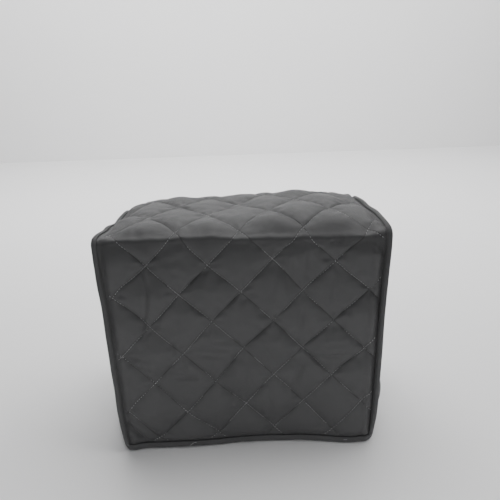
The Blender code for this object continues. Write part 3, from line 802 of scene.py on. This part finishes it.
def seam_binding(side):
    rows = panel_rows
    sewn, stand, across = seam_frame(side, rows)
    running = length_along(sewn)
    flat = np.stack([running, np.zeros_like(running)], axis=-1)
    seed = 5.0 if side == "left" else 8.0
    wavering = rough(flat, 0.030, seed)
    ripple = rough(flat, 0.008, seed + 10)
    inner = LAYER_OFFSET + PRESSED_CLOTH / 2 + LAYER_GAP
    outer = inner + TAPE
    inside = seam_allowance(rows)[:, 0] + LAYER_GAP
    start = TAPE_START
    bent = TAPE_START + TAPE_BEND
    rings = []
    for index in range(len(rows)):
        reach = inside[index] + TAPE_EDGE_WAVER * wavering[index]
        tip = reach + TAPE
        middle = (TAPE_START + tip) / 2
        swollen = outer + 0.0001 + TAPE_RIPPLE * ripple[index]
        profile = [
            (bent, inner), (start, inner + TAPE / 2), (bent, outer),
            (middle, swollen), (tip - 0.0011, outer - 0.0001), (tip - 0.0004, outer * 0.72),
            (tip, outer * 0.28), (tip, -outer * 0.28), (tip - 0.0004, -outer * 0.72),
            (tip - 0.0011, 0.0001 - outer), (middle, -swollen), (bent, -outer),
            (start, -inner - TAPE / 2), (bent, -inner), (reach - 0.0003, -inner),
            (reach, -inner * 0.5), (reach, inner * 0.5), (reach - 0.0003, inner),
        ]
        rings.append([sewn[index] + stand[index] * out + across[index] * aside for out, aside in profile])
    rings = np.array(rings)
    around = length_along(rings[0])
    around = np.append(around, around[-1] + 0.002)
    piece = loft("cover_seam_binding_" + side, rings, False,
                 lambda ring, place: (around[place], running[min(ring, len(running) - 1)]))
    piece.data.materials.clear()
    piece.data.materials.append(tape_finish)
    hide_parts("seam_binding_" + side)
    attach(piece, "root")
    return piece, float(running[-1])


seam_bindings = {side: seam_binding(side) for side in ("left", "right")}

# The hem binding.
# A wider dark tape folded over the lower edge all the way round the mouth. The cover stands on it.
HEM_TAPE_WIDTH = 0.005
HEM_TAPE_SWELL = 0.00025
HEM_TAPE_LIFT = 0.0003


def mouth_line():
    """The middle of the cloth round the mouth, anticlockwise from the front left corner."""
    start = np.array([start_row])
    end = np.array([end_row])
    corner = {(side, face): seam_frame(side, row)[0][0] for side in ("left", "right")
              for face, row in (("front", start), ("back", end))}
    front = panel_points(panel_columns, np.full_like(panel_columns, start_row))
    back = panel_points(panel_columns, np.full_like(panel_columns, end_row))[::-1]
    shares = np.linspace(0, 1, 76)[1:-1]
    line = [corner["left", "front"], *front, corner["right", "front"]]
    for side, first, last in (("right", "front", "back"), ("left", "back", "front")):
        sign = -1.0 if side == "left" else 1.0
        swell, fade, squareness = END_SWELL[side]
        if side == "left":
            line += [corner["right", "back"], *back, corner["left", "back"]]
        for share in shares:
            point = corner[side, first] * (1 - share) + corner[side, last] * share
            point[0] += sign * swell * math.sin(math.pi * share) ** squareness
            line.append(point)
    return np.array(line)


def hem_binding():
    line = mouth_line()
    line[:, 2] = 0
    before = line - np.roll(line, 1, axis=0)
    after = np.roll(line, -1, axis=0) - line
    before /= np.linalg.norm(before, axis=1)[:, None]
    after /= np.linalg.norm(after, axis=1)[:, None]
    out_before = np.stack([before[:, 1], -before[:, 0], np.zeros(len(line))], axis=1)
    out_after = np.stack([after[:, 1], -after[:, 0], np.zeros(len(line))], axis=1)
    out = out_before + out_after
    out /= np.linalg.norm(out, axis=1)[:, None]
    out /= np.maximum(0.8, (out * out_before).sum(axis=1))[:, None]
    running = length_along(line)
    flat = np.stack([running, np.zeros_like(running)], axis=-1)
    swelling = rough(flat, 0.012, 31.0)
    lift = rough(flat, 0.028, 37.0)
    half = HEM_TAPE_WIDTH / 2
    rings = []
    for index in range(len(line)):
        wide = half + HEM_TAPE_SWELL * swelling[index]
        tall = HEM_TAPE_HEIGHT - HEM_TAPE_LIFT + HEM_TAPE_LIFT * lift[index]
        profile = [
            (-wide + 0.0014, 0.0), (wide - 0.0014, 0.0), (wide - 0.0004, 0.0005), (wide, 0.0016),
            (wide + 0.0002, tall * 0.45), (wide, tall - 0.0013), (wide - 0.0003, tall - 0.0004),
            (wide - 0.0009, tall), (-wide + 0.0009, tall), (-wide + 0.0003, tall - 0.0004),
            (-wide, tall - 0.0013), (-wide, 0.0016), (-wide + 0.0004, 0.0005),
        ]
        rings.append([line[index] + out[index] * reach + np.array([0, 0, height])
                      for reach, height in profile])
    rings = np.array(rings)
    around = length_along(rings[0])
    around = np.append(around, around[-1] + 0.001)
    total = running[-1] + np.linalg.norm(line[0] - line[-1])
    lengths = np.append(running, total)
    piece = loft("cover_hem_binding", rings, True, lambda ring, place: (around[place], lengths[ring]))
    piece.data.materials.clear()
    piece.data.materials.append(tape_finish)
    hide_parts("hem_binding")
    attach(piece, "root")
    return piece, rings, total


hem, hem_rings, hem_length = hem_binding()

# The quilting stitches.
# Pale grey thread in a lockstitch along every line of the diamonds. Each stitch that shows is a
# short, slightly domed dash of thread pulled down into the cloth at both ends.
STITCH_PITCH = 0.0033
STITCH_LENGTH = 0.0022
STITCH_DIP = 0.00018
THREAD = 0.00050
STITCH_RISE = 0.00016
STITCH_SINK = 0.00032
thread_finish = Finish("pale grey thread", roughness=0.6, sheen=0.1)
thread_finish.colour_between((0.22, 0.22, 0.225), (0.58, 0.58, 0.58), thread_finish.cloud(0.004))


def stitch_shape():
    """One stitch along X, domed towards +Z, as a few rings of a stretched sphere."""
    bpy.ops.object.select_all(action="DESELECT")
    bpy.ops.mesh.primitive_uv_sphere_add(segments=6, ring_count=4, radius=0.5, location=(0, 0, 0),
                                         rotation=(0, math.pi / 2, 0))
    piece = bpy.context.object
    bpy.ops.object.transform_apply(location=True, rotation=True, scale=True)
    places = np.array([tuple(vertex.co) for vertex in piece.data.vertices])
    faces = [tuple(face.vertices) for face in piece.data.polygons]
    bpy.data.objects.remove(piece)
    places *= (STITCH_LENGTH, THREAD, THREAD * 0.8)
    places[:, 2] -= STITCH_DIP * (2 * places[:, 0] / STITCH_LENGTH) ** 2
    return places, faces


def stitch_frames(line, normals, pitch, start=0.4):
    """Places and directions of evenly spaced stitches along a line of points."""
    running = length_along(line)
    marks =np.arange(pitch * start, running[-1] - pitch * 0.3, pitch)
    place = np.stack([np.interp(marks, running, line[:, k]) for k in range(3)], axis=1)
    ahead = np.stack([np.interp(marks + 0.0005, running, line[:, k]) for k in range(3)], axis=1)
    out = np.stack([np.interp(marks, running, normals[:, k]) for k in range(3)], axis=1)
    along = ahead - place
    along /= np.maximum(np.linalg.norm(along, axis=1), 1e-9)[:, None]
    out -= along * (out * along).sum(axis=1)[:, None]
    out /= np.linalg.norm(out, axis=1)[:, None]
    return place, along, out


def stitches(name, frames):
    """Join all the stitches of a piece into one mesh."""
    places, faces = stitch_shape()
    points = []
    polygons = []
    for place, along, out in frames:
        beside = np.cross(out, along)
        for centre, x, y, z in zip(place, along, beside, out):
            base = len(points) * len(places)
            points.append(centre + places @ np.stack([x, y, z]))
            polygons += [tuple(base + corner for corner in face) for face in faces]
    mesh = bpy.data.meshes.new(name)
    mesh.from_pydata(np.concatenate(points).tolist(), [], polygons)
    mesh.shade_smooth()
    mesh.materials.append(thread_finish.material)
    piece = bpy.data.objects.new(name, mesh)
    bpy.context.scene.collection.objects.link(piece)
    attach(piece, "root")
    return piece


def grid_normals(points):
    down = np.gradient(points, axis=0)
    over = np.gradient(points, axis=1)
    normal = np.cross(over, down)
    return normal / np.linalg.norm(normal, axis=2)[..., None]


def quilting_frames(outer, lattice, outward):
    """Follow each stitch line over the grid of the cloth's outer face."""
    normals = grid_normals(outer)
    if (normals.reshape(-1, 3) * outward.reshape(-1, 3)).sum() < 0:
        normals = -normals
    frames = []
    for values in (lattice[..., 0] + lattice[..., 1], lattice[..., 0] - lattice[..., 1]):
        counts = np.round(values * STEPS).astype(int)
        exact = np.abs(values * STEPS - counts) < 0.01
        on_line = exact & ((counts - STEPS) % (2 * STEPS) == 0) & (np.abs(lattice[..., 0]) < 40)
        for count in np.unique(counts[on_line]):
            rows, columns = np.nonzero(on_line & (counts == count))
            order = np.argsort(rows)
            rows, columns = rows[order], columns[order]
            if len(rows) < 4:
                continue
            line = outer[rows, columns]
            sunk = 0.5 + 0.5 * rough(line[:, ::2] + line[:, 1:2], 0.030, 3.0 * count)
            height = STITCH_RISE - STITCH_SINK * smooth((sunk - 0.35) / 0.3)
            out = normals[rows, columns]
            frames.append(stitch_frames(line + out * height[:, None], out, STITCH_PITCH))
    return frames


middle = np.array([0.0, 0.0, 0.12])
open_outer = panel_outer[:, edge_points:-edge_points]
open_lattice = panel_lattice[:, edge_points:-edge_points]
panel_frames = quilting_frames(open_outer, open_lattice, open_outer - middle)
panel_stitches = stitches("cover_panel_stitches", panel_frames)
end_frames = []
for side in ("left", "right"):
    piece, outer, lattice = ends[side]
    end_frames += quilting_frames(outer, lattice, outer - middle)
stitches("cover_end_stitches", end_frames)

# The loose threads on the hem.
# A thread end that stands in a small loop at the lower left, and one tack stitch at the lower right.
# Columns: place across, height, how far in front of the hem tape.
THREAD_LOOP = (
    (-0.0690, 0.0012, 0.0004),
    (-0.0672, 0.0030, 0.0007),
    (-0.0655, 0.0052, 0.0012),
    (-0.0635, 0.0068, 0.0014),
    (-0.0612, 0.0072, 0.0012),
    (-0.0596, 0.0062, 0.0008),
)
TACK_STITCH = ((0.1052, 0.0048, 0.0002), (0.1072, 0.0050, 0.0004), (0.1090, 0.0048, 0.0002))


def hem_thread(table, pitch):
    """Stitches along a short line of thread that lies on the front of the hem tape."""
    front = hem_rings[1:len(panel_columns) + 1, 4]
    line = np.array([[x, np.interp(x, front[:, 0], front[:, 1]) - reach, z] for x, z, reach in table])
    return stitch_frames(line, np.tile([0.0, -1.0, 0.0], (len(line), 1)), pitch, 0.5)


hem_frames = [hem_thread(THREAD_LOOP, 0.0014), hem_thread(TACK_STITCH, 0.0012)]
stitches("cover_hem_threads", hem_frames)

# A loop over the two sides that builds each end panel's name and keeps nothing.
for side in ("left", "right"):
    "side_" + side

# The photograph's view.
# A plain pale floor and backdrop, soft light from above, light on the backdrop, and low light from
# the floor in front.
CAMERA_PLACE = (-0.00399, -0.52935, 0.41526)
CAMERA_TURN = (68.126, 1.628, -1.995)
bpy.ops.object.camera_add(location=CAMERA_PLACE, rotation=[math.radians(angle) for angle in CAMERA_TURN])
camera = bpy.context.object
camera.name = "photograph_view"
camera.data.sensor_width = 36.0
camera.data.lens = 36.0
bpy.context.scene.camera = camera

paper = Finish("pale floor", 0.6, 0.0)
paper.colour_between((0.85, 0.85, 0.86), (0.89, 0.885, 0.88), paper.cloud(0.4))
bpy.ops.mesh.primitive_plane_add(size=6, location=(0, 0, -0.0002))
floor = bpy.context.object
floor.name = "floor"
bpy.ops.mesh.primitive_plane_add(size=6, location=(0, 1.6, 1.0), rotation=(math.pi / 2, 0, 0))
backdrop = bpy.context.object
backdrop.name = "backdrop"
for plain in (floor, backdrop):
    plain.data.materials.append(paper.material)

world = bpy.data.worlds.new("soft room") if bpy.context.scene.world is None else bpy.context.scene.world
bpy.context.scene.world = world
world.use_nodes = True
world.node_tree.nodes["Background"].inputs["Color"].default_value = (0.95, 0.97, 1.0, 1)
world.node_tree.nodes["Background"].inputs["Strength"].default_value = 0.16


def soft_light(name, place, target, size, power):
    data = bpy.data.lights.new(name, "AREA")
    data.shape = "RECTANGLE"
    data.size, data.size_y = size
    data.energy = power
    lamp = bpy.data.objects.new(name, data)
    bpy.context.scene.collection.objects.link(lamp)
    lamp.location = place
    lamp.rotation_euler = (Vector(target) - Vector(place)).to_track_quat("-Z", "Y").to_euler()


soft_light("light from above", (0.15, 0.30, 1.3), (0, 0.0, 0.0), (1.6, 0.8), 23)
soft_light("light on the backdrop", (0, 0.7, 1.2), (0, 1.6, 0.6), (3.0, 0.5), 34)
soft_light("reflector in front", (0, -0.42, 0.004), (0, -0.36, 0.3), (1.0, 0.34), 1.15)
soft_light("low front strip", (0, -0.42, 0.03), (0, -0.08, 0.04), (1.0, 0.04), 0.75)
